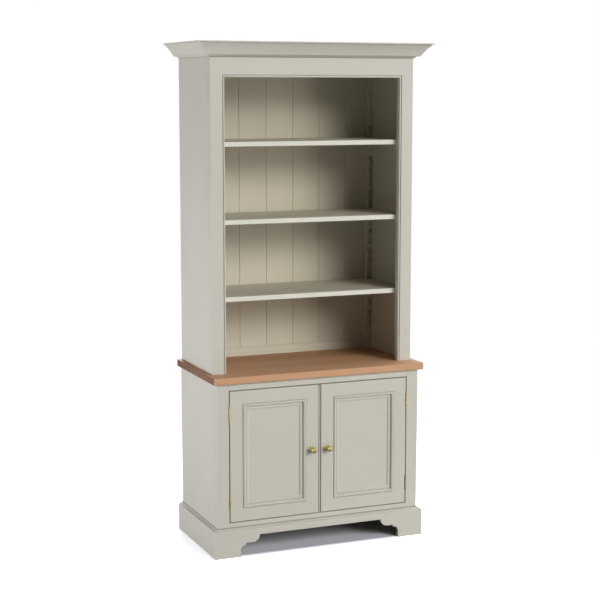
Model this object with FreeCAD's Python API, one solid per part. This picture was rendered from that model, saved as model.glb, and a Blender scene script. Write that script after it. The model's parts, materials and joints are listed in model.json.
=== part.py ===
import FreeCAD, Part
import os
from math import sqrt
from FreeCAD import Vector

# A painted bookcase in two parts: a two-door cupboard with an oak top, and an open rack of
# adjustable shelves that stands on it. Millimetres, X to the right, Y to the back, Z up.
# It is drawn with Y = 0 at the front of the cupboard's face frame, and stored with its origin
# on the floor, under the middle of the whole piece.

# whole piece
total_height = 2100.0
back = 462.0                 # every back edge is flush with this plane
frame_thick = 26.0           # both face frames
joint_vee = 2.0              # bevel either side of the joint between frame and side
soft = 1.5                   # eased arris on the face frames

# cupboard carcase
base_half = 454.5            # half its width
base_stile = 51.5
base_side = 18.0
base_panel = 9.0             # back panel
opening_low = 142.5
opening_high = 697.5
floor_thick = 18.0
stretcher_high = 22.0
stretcher_deep = 60.0
rail_foot = 100.0            # lower edge of the bottom rail, behind the plinth

# joints in the wood
tenon_long = 25.0
tenon_thick = 9.0
tenon_inset = 8.5            # behind the front of the frame
tenon_shoulder = 6.0         # above and below each tenon
housing_deep = 5.0           # for the cupboard's floor and the rack's top
rebate_wide = 8.0            # for the rack's back boards

# oak top
top_low = 727.0
top_high = 755.0
top_overhang = 18.0
top_round = 8.0
top_under_round = 3.0
top_screw = (4.0, 2.0, 40.0)
top_screw_apart = 330.0
dowel_radius = 3.0
dowel_long = 30.0

# plinth with bracket feet
plinth_thick = 18.5
plinth_high = 124.0
plinth_shoulder = 113.0
arch_high = 87.0
foot_inside = 360.0          # where the foot meets the floor, from the middle
foot_cove = 19.0
foot_step = 9.0
foot_ovolo = 30.0

# doors
door_gap = 4.0
door_thick = 22.0
door_rail_low = 53.5         # bottom rail
door_rail_high = 55.5        # top rail
door_stile = 56.1            # stile at the meeting edge
hinge_stile = 55.0
meeting_half = 5.9           # from the middle to each door's frame
panel_sunk = 8.5
panel_thick = 10.0
groove_deep = 8.0
moulding_wide = 27.6
moulding_quirk = 3.4         # depth of the sunk line between frame and bead
moulding_proud = 3.8         # bead in front of the frame
meeting_bead = 7.5           # bead on the left door's closing edge
meeting_quirk = 2.7          # sunk line beside it
knob_height = 421.0
knob_in = 29.6               # from the door's meeting edge
knob_ball = 13.3
knob_rose = 13.7
knob_neck = 8.6
knob_reach = 36.0
knob_hole = 2.1
catch_x = 33.5               # middle of each catch and its strike plate
catch_half = 17.5
catch_low = 684.0

# butt hinges
hinge_heights = (235.0, 600.5)
hinge_long = 65.0
hinge_forward = 3.0          # pin centre, in front of the face frame
barrel = 2.9
pin = 1.25
pin_clearance = 0.05
leaf_thick = 1.6
leaf_wide = 18.0
knuckle_count = 5
knuckle_gap = 0.4
hinge_screw = (3.0, 1.5, 14.0)       # head radius, shank radius, length
hinge_screw_apart = 22.0
hinge_screw_rows = (8.0, 12.0)       # from the front edge: outer two, middle one

# rack
rack_half = 451.0
rack_front = 64.5
rack_side = 15.0
rack_high = 2062.0           # top of the sides and frame, behind the cornice
rack_opening_half = 389.5
rack_opening_high = 1958.0
bead_wide = 7.0              # bead round the rack opening
quirk = 3.0                  # sunk line beside the bead
quirk_floor = 2.2
quirk_deep = 4.2
board_thick = 10.0
board_wide = 125.0
board_vee = 2.5
rack_top_thick = 18.0
back_rail_high = 36.0
back_rail_thick = 20.0
back_rail_bevel = 10.0

# cornice
cornice_low = 2039.5
cornice_out = 67.0
cornice_lip = 5.0
cornice_back = 22.0          # the slope behind it starts this far in from the lip

# shelves on notched ladders
shelf_thick = 20.0
shelf_round = 5.0
shelf_slack = 2.5            # between a shelf and what is round it
notch_pitch = 45.2
notches_per_shelf = 7
lower_shelf_top = 1067.5
notches_below = 4            # below the lower shelf's own notch
notches_above = 2            # above the upper shelf's own notch
notch_deep = 9.0
notch_back = 3.0             # height of the notch at its inner end
notch_mouth = 12.0           # height of the notch at the ladder's face
ladder_wide = 22.0
ladder_deep = 25.0
bearer_high = 30.0
bearer_wide = 17.0
tongue_slack = 0.5

# cupboard shelf
inner_shelf_low = 412.0
inner_shelf_front = 40.0
peg_radius = 2.5
peg_pitch = 40.0
peg_columns = (90.0, 400.0)

# worked out from the above
base_opening_half = base_half - base_stile
base_inside = base_half - base_side
rack_inside = rack_half - rack_side
rack_frame_back = rack_front + frame_thick
boards_front = back - board_thick
door_edge = base_opening_half - door_gap
door_low = opening_low + door_gap
door_high = opening_high - door_gap
panel_low = door_low + door_rail_low
panel_high = door_high - door_rail_high
stretcher_low = top_low - stretcher_high
bead_outside = rack_opening_half + bead_wide
hinge_x = base_opening_half - door_gap / 2
knob_x = meeting_half + knob_in
hinge_stile_inner = door_edge - hinge_stile
meeting_stile_inner = meeting_half + door_stile
shelf_step = notches_per_shelf * notch_pitch
lower_seat = lower_shelf_top - shelf_thick - bearer_high
front_reach = -knob_reach
origin_y = (front_reach + back) / 2


# ---- drawing helpers

def in_space(plane, point, at):
    a, b = point.x, point.y
    return {"xy": Vector(a, b, at), "xz": Vector(a, at, b), "yz": Vector(at, a, b)}[plane]


def rounded(before, corner, after, radius):
    # where a fillet of this radius starts, its middle and its end
    u = (before - corner).normalize()
    v = (after - corner).normalize()
    half_sine = sqrt((1 - u.dot(v)) / 2)
    half_cosine = sqrt((1 + u.dot(v)) / 2)
    reach = radius * half_cosine / half_sine
    middle = corner + (u + v).normalize() * (radius / half_sine - radius)
    return corner + u * reach, middle, corner + v * reach


def outline(plane, at, corners):
    # a flat face from corners (a, b), rounded corners (a, b, radius) and arcs ((mid), (end))
    ends = [Vector(*(c[1] if isinstance(c[0], tuple) else c[:2])) for c in corners]
    stops = []
    for i, corner in enumerate(corners):
        via = Vector(*corner[0]) if isinstance(corner[0], tuple) else None
        if via is None and len(corner) == 3:
            enter, bend, leave = rounded(ends[i - 1], ends[i], ends[(i + 1) % len(ends)], corner[2])
        else:
            enter, bend, leave = ends[i], None, ends[i]
        stops.append((via, enter, bend, leave))
    edges = []

    def draw(start, mid, end):
        points = [in_space(plane, p, at) for p in (start, mid, end) if p is not None]
        if len(points) == 3:
            edges.append(Part.Arc(*points).toShape())
        elif points[0].distanceToPoint(points[1]) > 1e-6:
            edges.append(Part.makeLine(*points))

    for i, (via, enter, bend, leave) in enumerate(stops):
        draw(stops[i - 1][3], via, enter)
        if bend is not None:
            draw(enter, bend, leave)
    return Part.Face(Part.Wire(edges))


def along_x(corners, start, end):
    return outline("yz", start, corners).extrude(Vector(end - start, 0, 0))


def along_y(corners, start, end):
    return outline("xz", start, corners).extrude(Vector(0, end - start, 0))


def along_z(corners, start, end):
    return outline("xy", start, corners).extrude(Vector(0, 0, end - start))


def board(x, y, z):
    return Part.makeBox(x[1] - x[0], y[1] - y[0], z[1] - z[0], Vector(x[0], y[0], z[0]))


def rod(radius, length, start, direction):
    return Part.makeCylinder(radius, length, Vector(*start), Vector(*direction))


def mirrored(shape):
    return shape.mirror(Vector(), Vector(1, 0, 0))


def both(shape):
    return [shape, mirrored(shape)]


def group(shapes):
    return Part.makeCompound(list(shapes))


def save(name, shape):
    stored = shape.copy()
    stored.translate(Vector(0, -origin_y, 0))
    stored.exportStep("parts/" + name + ".step")


# ---- small hardware

def countersunk(sizes, start, direction, slotted):
    # a wood screw, its head flush at start, driven along direction; unslotted, it is its own hole
    head, shank, length = sizes
    half_profile = [(0, 0), (head, 0), (shank, head - shank), (shank, length - shank), (0, length)]
    body = outline("xz", 0, half_profile).revolve(Vector(), Vector(0, 0, 1), 360)
    if slotted:
        body = body.cut(board((-head, head), (-0.4, 0.4), (-1, head * 0.25)))
    turn = FreeCAD.Rotation(Vector(0, 0, 1), Vector(*direction))
    body.Placement = FreeCAD.Placement(Vector(*start), turn)
    return body


def hinge_screw_places():
    outer, inner = hinge_screw_rows
    return [(outer if n else inner, middle + hinge_screw_apart * n)
            for middle in hinge_heights for n in (-1, 0, 1)]


def frame_hinge_screws(slotted=True):
    return [countersunk(hinge_screw, (base_opening_half, y, z), (1, 0, 0), slotted)
            for y, z in hinge_screw_places()]


def door_hinge_screws(slotted=True):
    return [countersunk(hinge_screw, (door_edge, y, z), (-1, 0, 0), slotted)
            for y, z in hinge_screw_places()]


def hinge_leaf(inner, outer, knuckles, middle, bore):
    low = middle - hinge_long / 2
    span = hinge_long / knuckle_count
    leaf = board((inner, outer), (0, leaf_wide), (low, low + hinge_long))
    for n in knuckles:
        z0 = low + n * span + (knuckle_gap / 2 if n > 0 else 0)
        z1 = low + (n + 1) * span - (knuckle_gap / 2 if n < knuckle_count - 1 else 0)
        tab = board((inner, outer), (-hinge_forward, 0), (z0, z1))
        leaf = leaf.fuse([tab, rod(barrel, z1 - z0, (hinge_x, -hinge_forward, z0), (0, 0, 1))])
    return leaf.cut(rod(bore, hinge_long, (hinge_x, -hinge_forward, low), (0, 0, 1)))


def frame_leaves():
    leaves = [hinge_leaf(base_opening_half, base_opening_half + leaf_thick, (0, 2, 4), middle, pin)
              for middle in hinge_heights]
    return [leaf.cut(frame_hinge_screws(slotted=False)) for leaf in leaves]


def door_leaves():
    leaves = [hinge_leaf(door_edge - leaf_thick, door_edge, (1, 3), middle, pin + pin_clearance)
              for middle in hinge_heights]
    return [leaf.cut(door_hinge_screws(slotted=False)) for leaf in leaves]


def hinge_pins():
    return [rod(pin, hinge_long, (hinge_x, -hinge_forward, middle - hinge_long / 2), (0, 0, 1))
            for middle in hinge_heights]


def leaf_recess(x):
    return [board(x, (-1, leaf_wide), (middle - hinge_long / 2, middle + hinge_long / 2))
            for middle in hinge_heights]


def knob():
    # a ball on a short neck, with a turned rose against the door
    rose, neck = knob_rose, knob_neck
    ball_middle = -knob_reach + knob_ball
    ball_start = ball_middle + sqrt(knob_ball ** 2 - neck ** 2)
    profile = [(0, 0), (rose, 0), (rose, -2), ((rose - 1.4, -3.7), (neck + 1.8, -4.6)),
               ((neck + 0.4, -5.8), (neck, -7.4)), (neck, ball_start),
               ((knob_ball, ball_middle), (0, -knob_reach))]
    turned = outline("xy", 0, profile).revolve(Vector(), Vector(0, 1, 0), 360)
    turned = turned.cut(rod(2, 10, (0, 0, 0), (0, -1, 0)))
    turned.translate(Vector(knob_x, 0, knob_height))
    return turned


def knob_screw():
    shank = rod(2, door_thick + 9, (knob_x, door_thick, knob_height), (0, -1, 0))
    head = rod(4, 2.2, (knob_x, door_thick, knob_height), (0, 1, 0))
    return shank.fuse(head)


def catch():
    # magnetic catch hung from the front stretcher, its nose under the top rail
    face, rear = door_thick + 2, frame_thick + 12
    nose_top = opening_high - 0.5
    section = [(face, catch_low), (rear, catch_low, 2), (rear, stretcher_low),
               (frame_thick, stretcher_low), (frame_thick, nose_top), (face, nose_top)]
    body = along_x(section, catch_x - catch_half, catch_x + catch_half)
    ears = board((catch_x - catch_half - 8, catch_x + catch_half + 8), (frame_thick + 1, rear - 2),
                 (stretcher_low - 2.5, stretcher_low))
    return body.fuse(ears)


def strike():
    half = catch_half - 2
    return board((catch_x - half, catch_x + half), (door_thick, door_thick + 1.2),
                 (catch_low - 1, catch_low + 8.5))


# ---- plinth

def plinth_section(side):
    # from the carcase face (0) outwards, with a sloping top and a rounded shoulder
    return [(0, 0), (side * plinth_thick, 0), (side * plinth_thick, plinth_shoulder, 5),
            (0, plinth_high)]


def plinth_front():
    wide = base_half + plinth_thick
    length = along_x(plinth_section(-1), -wide, wide)
    # the arch: cove, step and ovolo up from each foot to a straight top
    step_x = foot_inside - foot_cove - 4
    ovolo_low = arch_high - foot_ovolo
    step_low = ovolo_low - foot_step
    half = [(foot_inside, -1), (foot_inside, step_low, foot_cove), (step_x, step_low),
            (step_x, ovolo_low), (step_x - foot_ovolo * 2, ovolo_low, foot_ovolo),
            (step_x - foot_ovolo * 2, arch_high)]
    other_half = [(-corner[0],) + corner[1:] for corner in reversed(half)]
    arch = along_y(half + other_half, -plinth_thick - 1, 1)
    mitre = along_z([(-wide, -plinth_thick), (wide, -plinth_thick), (base_half, 0), (-base_half, 0)],
                    -1, plinth_high + 1)
    return length.cut(arch).common(mitre)


def plinth_right():
    wide = base_half + plinth_thick
    section = [(base_half + corner[0],) + corner[1:] for corner in plinth_section(1)]
    length = along_y(section, -plinth_thick, back)
    mitre = along_z([(wide, -plinth_thick), (wide, back), (base_half, back), (base_half, 0)],
                    -1, plinth_high + 1)
    return length.common(mitre)


def plinth_back():
    return board((-base_inside, base_inside), (back - base_side, back), (0, plinth_shoulder))


# ---- cupboard carcase

def peg_holes():
    heights = [inner_shelf_low - peg_radius + peg_pitch * n for n in range(-2, 3)]
    return [rod(peg_radius, 10, (base_inside, y, z), (1, 0, 0)) for y in peg_columns for z in heights]


def shelf_pegs():
    z = inner_shelf_low - peg_radius
    pegs = []
    for y in peg_columns:
        stem = rod(peg_radius, 22, (base_inside - 12, y, z), (1, 0, 0))
        collar = rod(peg_radius + 2, 1.5, (base_inside - 1.5, y, z), (1, 0, 0))
        ledge = board((base_inside - 13.5, base_inside + 0.5), (y - 6, y + 6), (z, inner_shelf_low + 2))
        pegs.append(stem.fuse(collar).cut(ledge.cut(stem)))
    return pegs


def base_side_right():
    section = [(base_inside, frame_thick), (base_half - joint_vee, frame_thick),
               (base_half, frame_thick + joint_vee), (base_half, back), (base_half - base_panel, back),
               (base_half - base_panel, back - base_panel), (base_inside, back - base_panel)]
    panel = along_z(section, 0, top_low)
    housing = board((base_inside, base_inside + housing_deep), (frame_thick, back - base_panel),
                    (opening_low - floor_thick, opening_low))
    return panel.cut([housing] + peg_holes())


def base_floor():
    reach = base_inside + housing_deep
    return board((-reach, reach), (frame_thick, back - base_panel), (opening_low - floor_thick, opening_low))


def base_back():
    reach = base_half - base_panel
    return board((-reach, reach), (back - base_panel, back), (plinth_shoulder, top_low))


def rail_tenon(start, low, high, front):
    y = front + tenon_inset
    return board((start, start + tenon_long), (y, y + tenon_thick),
                 (low + tenon_shoulder, high - tenon_shoulder))


def base_tenons():
    return [rail_tenon(base_opening_half, opening_high, top_low, 0),
            rail_tenon(base_opening_half, rail_foot, opening_low, 0)]


def base_stile_right():
    section = [(base_opening_half, 0, soft), (base_half, 0, soft), (base_half, frame_thick - joint_vee),
               (base_half - joint_vee, frame_thick), (base_opening_half, frame_thick)]
    stile = along_z(section, 0, top_low)
    recesses = leaf_recess((base_opening_half - 1, base_opening_half + leaf_thick))
    return stile.cut(base_tenons() + recesses + frame_hinge_screws(slotted=False))


def base_rail(low, high, tenon):
    rail = board((-base_opening_half, base_opening_half), (0, frame_thick), (low, high))
    return rail.fuse(both(tenon))


def top_stretchers():
    spans = ((frame_thick, frame_thick + stretcher_deep),
             (back - base_panel - stretcher_deep, back - base_panel))
    stretchers = [board((-base_inside, base_inside), span, (stretcher_low, top_low)) for span in spans]
    return [stretcher.cut(worktop_screws(slotted=False)) for stretcher in stretchers]


def worktop_screws(slotted=True):
    rows = (frame_thick + stretcher_deep / 2, back - base_panel - stretcher_deep / 2)
    return [countersunk(top_screw, (x, y, stretcher_low), (0, 0, 1), slotted)
            for y in rows for x in (-top_screw_apart, 0, top_screw_apart)]


def rack_dowels():
    # two in the lower edge of each side and one in the foot of each stile
    stile_middle = (bead_outside + rack_half) / 2
    places = [(rack_half - rack_side / 2, 150), (rack_half - rack_side / 2, 400),
              (stile_middle, rack_front + frame_thick / 2)]
    return [rod(dowel_radius, dowel_long, (side * x, y, top_high - dowel_long / 2), (0, 0, 1))
            for x, y in places for side in (1, -1)]


def worktop():
    wide = base_half + top_overhang
    # front nosing: an eased upper edge and a smaller one beneath
    slab = board((-wide, wide), (-top_overhang, back), (top_low, top_high))

    def level(height):
        def chosen(edge):
            box = edge.BoundBox
            return abs(box.ZMin - height) < 0.01 and abs(box.ZMax - height) < 0.01 and box.YMin < back - 1
        return [edge for edge in slab.Edges if chosen(edge)]

    slab = slab.makeFillet(top_round, level(top_high))
    slab = slab.makeFillet(top_under_round, level(top_low))
    return slab.cut(worktop_screws(slotted=False) + rack_dowels())


def inner_shelf():
    reach = base_inside - 2.5
    section = [(inner_shelf_front, inner_shelf_low, 3), (back - base_panel - 3, inner_shelf_low),
               (back - base_panel - 3, inner_shelf_low + floor_thick),
               (inner_shelf_front, inner_shelf_low + floor_thick, 3)]
    return along_x(section, -reach, reach)


# ---- doors, drawn for the right-hand one

def grooved(edge, inward, y0, y1):
    # corners of the panel groove in an edge that faces the panel
    return [(edge, y1), (edge + inward * groove_deep, y1), (edge + inward * groove_deep, y0), (edge, y0)]


def door_stiles():
    groove = (panel_sunk, panel_sunk + panel_thick)
    inner = hinge_stile_inner
    hinge_side = [(inner, 0), (door_edge, 0, 1), (door_edge, door_thick), (inner, door_thick)]
    hinge_side += grooved(inner, 1, *groove)
    inner = meeting_stile_inner
    meeting_side = [(inner, door_thick), (meeting_half, door_thick), (meeting_half, 0, 1),
                    (inner, 0)] + list(reversed(grooved(inner, -1, *groove)))
    hinge_stile = along_z(hinge_side, door_low, door_high)
    hinge_stile = hinge_stile.cut(leaf_recess((door_edge - leaf_thick, door_edge + 1))
                                  + door_hinge_screws(slotted=False))
    meeting_stile = along_z(meeting_side, door_low, door_high)
    spindle = rod(knob_hole, door_thick + 2, (knob_x, -1, knob_height), (0, 1, 0))
    return [hinge_stile, meeting_stile.cut(spindle)]


def door_rails():
    groove_back = panel_sunk + panel_thick
    start, end = meeting_stile_inner, hinge_stile_inner
    rails = []
    for outer, inner, toward in ((door_low, panel_low, -1), (door_high, panel_high, 1)):
        # the panel's groove is in the inner edge, which lies opposite the way "toward" points
        floor = inner + toward * groove_deep
        section = [(0, outer), (door_thick, outer), (door_thick, inner), (groove_back, inner),
                   (groove_back, floor), (panel_sunk, floor), (panel_sunk, inner), (0, inner)]
        rail = along_x(section, start, end)
        for x in ((start - groove_deep, start), (end, end + groove_deep)):
            rail = rail.fuse(board(x, (panel_sunk, groove_back), sorted((outer, floor))))
        rails.append(rail)
    return rails


def door_panel():
    into = groove_deep - 0.5
    x = (meeting_stile_inner - into, hinge_stile_inner + into)
    z = (panel_low - into, panel_high + into)
    return board(x, (panel_sunk, panel_sunk + panel_thick), z)


def door_moulding():
    # quirk, bead, a flat swell lower down and a step to the panel; four mitred lengths
    wide = moulding_wide
    section = [(0, panel_sunk), (0, moulding_quirk), (1.2, moulding_quirk), (1.2, 0.4),
               ((6.3, -moulding_proud), (12.6, 0.4)), (15, 6.4), ((21.3, 4.2), (wide, 7.2)),
               (wide, panel_sunk)]
    left, right = meeting_stile_inner, hinge_stile_inner
    low, high = panel_low, panel_high

    def turned(toward, origin):
        # the section set against one edge of the frame, u running towards the panel
        def place(point):
            return origin + toward * point[0], point[1]
        return [(place(c[0]), place(c[1])) if isinstance(c[0], tuple) else place(c) for c in section]

    def swapped(corners):
        return [((c[0][1], c[0][0]), (c[1][1], c[1][0])) if isinstance(c[0], tuple) else (c[1], c[0])
                for c in corners]

    uprights = [along_z(turned(1, left), low, high), along_z(turned(-1, right), low, high)]
    levels = [along_x(swapped(turned(1, low)), left, right), along_x(swapped(turned(-1, high)), left, right)]
    mitres = [[(left, low), (left + wide, low + wide), (left + wide, high - wide), (left, high)],
              [(right, low), (right - wide, low + wide), (right - wide, high - wide), (right, high)],
              [(left, low), (right, low), (right - wide, low + wide), (left + wide, low + wide)],
              [(left, high), (right, high), (right - wide, high - wide), (left + wide, high - wide)]]
    return [length.common(along_y(corners, -moulding_proud - 1, panel_sunk + 1))
            for length, corners in zip(uprights + levels, mitres)]


def meeting_bead_strip():
    left, right = -meeting_half, -meeting_half + meeting_bead
    start = left + meeting_quirk
    section = [(left, door_thick), (left, 7), (start, 7), (start, 0.6),
               (((start + right) / 2, -0.7), (right, 0.6)), (right, door_thick)]
    return along_z(section, door_low, door_high)


# ---- rack

def rack_side_right():
    rebate = rack_inside + rebate_wide
    section = [(rack_inside, rack_frame_back), (rack_half - joint_vee, rack_frame_back),
               (rack_half, rack_frame_back + joint_vee), (rack_half, back), (rebate, back),
               (rebate, boards_front), (rack_inside, boards_front)]
    panel = along_z(section, top_high, rack_high)
    housing = board((rack_inside, rack_inside + housing_deep), (rack_frame_back, boards_front),
                    (rack_high - rack_top_thick, rack_high))
    return panel.cut([housing] + rack_dowels())


def rack_top():
    reach = rack_inside + housing_deep
    return board((-reach, reach), (rack_frame_back, boards_front), (rack_high - rack_top_thick, rack_high))


def rack_tenon():
    return rail_tenon(bead_outside, rack_opening_high + bead_wide, rack_high, rack_front)


def rack_rail_section():
    low = rack_opening_high + bead_wide
    floor = rack_front + quirk_deep
    return [(floor, low), (floor, low + quirk_floor), (rack_front, low + quirk), (rack_front, rack_high),
            (rack_frame_back, rack_high), (rack_frame_back, low)]


def rack_stile_right():
    section = [(bead_outside, rack_front), (rack_half, rack_front, soft),
               (rack_half, rack_frame_back - joint_vee), (rack_half - joint_vee, rack_frame_back),
               (bead_outside, rack_frame_back)]
    stile = along_z(section, top_high, rack_high)
    # the sunk line runs up beside the bead and turns the corner into the top rail
    floor = rack_front + quirk_deep
    line = along_z([(bead_outside, rack_front), (bead_outside + quirk, rack_front),
                    (bead_outside + quirk_floor, floor), (bead_outside, floor)], top_high, rack_high)
    rail_end = along_x(rack_rail_section(), bead_outside, bead_outside + quirk)
    return stile.cut([line.cut(rail_end), rack_tenon()] + rack_dowels())


def rack_rail_top():
    rail = along_x(rack_rail_section(), -bead_outside, bead_outside)
    return rail.fuse(both(rack_tenon()))


def rack_bead():
    nose = bead_wide / 2 - 0.05
    upright = along_z([(rack_opening_half, rack_front, nose), (bead_outside, rack_front, nose),
                       (bead_outside, rack_frame_back), (rack_opening_half, rack_frame_back)],
                      top_high, rack_opening_high + bead_wide)
    upright = upright.common(along_y([(rack_opening_half, top_high), (bead_outside, top_high),
                                      (bead_outside, rack_opening_high + bead_wide),
                                      (rack_opening_half, rack_opening_high)], 0, back))
    level = along_x([(rack_front, rack_opening_high, nose), (rack_front, rack_opening_high + bead_wide, nose),
                     (rack_frame_back, rack_opening_high + bead_wide), (rack_frame_back, rack_opening_high)],
                    -bead_outside, bead_outside)
    level = level.common(along_y([(-rack_opening_half, rack_opening_high),
                                  (rack_opening_half, rack_opening_high),
                                  (bead_outside, rack_opening_high + bead_wide),
                                  (-bead_outside, rack_opening_high + bead_wide)], 0, back))
    return both(upright) + [level]


def back_boards():
    # tongued and grooved boards, with a vee down each joint in front
    tongue = (boards_front + 3.6, boards_front + 6.9)
    tongue_long, slack = 5.5, 0.1
    reach = rack_inside + rebate_wide
    edges = [-reach] + [board_wide * (n - 2.5) for n in range(6)] + [reach]
    boards = []
    for n, (left, right) in enumerate(zip(edges, edges[1:])):
        first, last = n == 0, n == len(edges) - 2
        section = [(left, boards_front)] if first else [(left, boards_front + board_vee),
                                                        (left + board_vee, boards_front)]
        if last:
            section += [(right, boards_front), (right, back)]
        else:
            tip = right + tongue_long
            section += [(right - board_vee, boards_front), (right, boards_front + board_vee),
                        (right, tongue[0]), (tip, tongue[0]), (tip, tongue[1]),
                        (right, tongue[1]), (right, back)]
        section.append((left, back))
        if not first:
            groove = left + tongue_long + 5 * slack
            section += [(left, tongue[1] + slack), (groove, tongue[1] + slack),
                        (groove, tongue[0] - slack), (left, tongue[0] - slack)]
        boards.append(along_z(section, top_high, rack_high))
    return boards


def rack_back_rail():
    front = boards_front - back_rail_thick
    high = top_high + back_rail_high
    section = [(boards_front, top_high), (front, top_high), (front, high - back_rail_bevel, 2),
               (front + back_rail_bevel, high), (boards_front, high)]
    reach = rack_inside - ladder_wide
    return along_x(section, -reach, reach)


def ladders_right():
    # a strip in each corner; a sloped notch at every step, facing the other strip
    face = boards_front - ladder_deep
    corners = [(face, top_high), (boards_front, top_high), (boards_front, rack_high - rack_top_thick),
               (face, rack_high - rack_top_thick)]
    steps = range(-notches_below, 2 * notches_per_shelf + notches_above + 1)
    for n in reversed(steps):
        seat = lower_seat + n * notch_pitch
        corners += [(face, seat + notch_mouth), (face + notch_deep, seat + notch_back),
                    (face + notch_deep, seat), (face, seat)]
    rear = along_x(corners, rack_inside - ladder_wide, rack_inside)
    middle = (rack_frame_back + boards_front) / 2
    return [rear, rear.mirror(Vector(0, middle, 0), Vector(0, 1, 0))]


def shelf_bearers():
    start, end = rack_frame_back + ladder_deep, boards_front - ladder_deep
    into = notch_deep - tongue_slack
    outside = rack_inside - 2
    bearers = []
    for n in range(3):
        seat = lower_seat + n * shelf_step
        section = [(start - into, seat), (end + into, seat), (end + into, seat + notch_back - tongue_slack),
                   (end, seat + notch_mouth - tongue_slack), (end, seat + bearer_high),
                   (start, seat + bearer_high), (start, seat + notch_mouth - tongue_slack),
                   (start - into, seat + notch_back - tongue_slack)]
        bearers += both(along_x(section, outside - bearer_wide, outside))
    return bearers


def shelf(top):
    # cut round the ladders at its four corners, with an eased front edge
    reach, waist = rack_inside - shelf_slack, rack_inside - ladder_wide - shelf_slack
    front, rear = rack_frame_back + shelf_slack, boards_front - shelf_slack
    front_step, rear_step = front + ladder_deep, rear - ladder_deep
    half = [(waist, front), (waist, front_step), (reach, front_step), (reach, rear_step),
            (waist, rear_step), (waist, rear)]
    plan = half + [(-x, y) for x, y in reversed(half)]
    plate = along_z(plan, top - shelf_thick, top)
    front_edges = [edge for edge in plate.Edges
                   if edge.BoundBox.YMax < front + 0.01 and edge.BoundBox.XLength > 100]
    return plate.makeFillet(shelf_round, front_edges)


# ---- cornice

def cornice_section():
    # a small ovolo, a round under a long cove, and a square lip; hollow behind, where it leans out
    low, lip_low = cornice_low, total_height - cornice_lip
    lip_in = cornice_out - 7
    return [(0, low), (2.2, low), ((6.9, low + 1.9), (9, low + 6.4)), (18.6, low + 7.2),
            ((23.6, low + 8.8), (25.8, low + 12.8)), ((41.3, low + 34.2), (lip_in, lip_low - 2)),
            (lip_in, lip_low), (cornice_out, lip_low), (cornice_out, total_height, 1.5),
            (cornice_out - cornice_back, total_height), (0, rack_high)]


def shifted(corners, place):
    return [(place(c[0]), place(c[1])) if isinstance(c[0], tuple) else place(c) for c in corners]


def cornice_front():
    wide = rack_half + cornice_out
    section = shifted(cornice_section(), lambda c: (rack_front - c[0],) + tuple(c[1:]))
    length = along_x(section, -wide, wide)
    mitre = along_z([(-wide, rack_front - cornice_out), (wide, rack_front - cornice_out),
                     (rack_half, rack_front), (-rack_half, rack_front)], cornice_low - 1, total_height + 1)
    return length.common(mitre)


def cornice_right():
    wide = rack_half + cornice_out
    section = shifted(cornice_section(), lambda c: (rack_half + c[0],) + tuple(c[1:]))
    length = along_y(section, rack_front - cornice_out, back)
    mitre = along_z([(wide, rack_front - cornice_out), (wide, back), (rack_half, back),
                     (rack_half, rack_front)], cornice_low - 1, total_height + 1)
    return length.common(mitre)


def cornice_blocks():
    # glue blocks in the hollow behind the leaning cornice
    slope = (total_height - rack_high) / (cornice_out - cornice_back)
    triangle = [(-20, rack_high), (0, rack_high), (20, rack_high + 20 * slope)]
    front = [along_x([(rack_front - a, b) for a, b in triangle], x - 35, x + 35) for x in (-300, 0, 300)]
    side = along_y([(rack_half + a, b) for a, b in triangle], 265, 335)
    return front + both(side)


# ---- write every piece

def pairs():
    yield "plinth", plinth_right()
    yield "base_side", base_side_right()
    yield "base_stile", base_stile_right()
    yield "rack_side", rack_side_right()
    yield "rack_stile", rack_stile_right()
    yield "cornice", cornice_right()
    yield "ladders", group(ladders_right())


def door_pieces():
    yield "stiles", group(door_stiles())
    yield "rails", group(door_rails())
    yield "panel", door_panel()
    yield "moulding", group(door_moulding())
    yield "knob", knob()
    yield "knob_screw", knob_screw()
    yield "strike", strike()
    yield "hinge_leaves", group(door_leaves())
    yield "hinge_screws", group(door_hinge_screws())


def single_pieces():
    yield "plinth_front", plinth_front()
    yield "plinth_back", plinth_back()
    yield "base_floor", base_floor()
    yield "base_back", base_back()
    yield "base_rail_top", base_rail(opening_high, top_low, base_tenons()[0])
    yield "base_rail_bottom", base_rail(rail_foot, opening_low, base_tenons()[1])
    yield "top_stretchers", group(top_stretchers())
    yield "worktop", worktop()
    yield "worktop_screws", group(worktop_screws())
    yield "cupboard_shelf", inner_shelf()
    yield "shelf_pegs", group(both(group(shelf_pegs())))
    yield "door_catches", group(both(catch()))
    yield "frame_hinge_leaves", group(both(group(frame_leaves())))
    yield "frame_hinge_screws", group(both(group(frame_hinge_screws())))
    yield "hinge_pins", group(both(group(hinge_pins())))
    yield "meeting_bead", meeting_bead_strip()
    yield "rack_top", rack_top()
    yield "rack_rail_top", rack_rail_top()
    yield "rack_bead", group(rack_bead())
    yield "back_boards", group(back_boards())
    yield "rack_back_rail", rack_back_rail()
    yield "rack_dowels", group(rack_dowels())
    yield "shelf_bearers", group(shelf_bearers())
    yield "cornice_front", cornice_front()
    yield "cornice_blocks", group(cornice_blocks())
    for n, name in enumerate(("shelf_lower", "shelf_middle", "shelf_upper")):
        yield name, shelf(lower_shelf_top + n * shelf_step)


os.makedirs("parts", exist_ok=True)
for name, shape in single_pieces():
    save(name, shape)
for name, shape in pairs():
    save(name + "_right", shape)
    save(name + "_left", mirrored(shape))
for name, shape in door_pieces():
    save("door_right_" + name, shape)
    save("door_left_" + name, mirrored(shape))
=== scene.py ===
import json
import math
from contextlib import contextmanager
import bpy
import bmesh
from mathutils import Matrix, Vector
from mathutils.bvhtree import BVHTree

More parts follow.
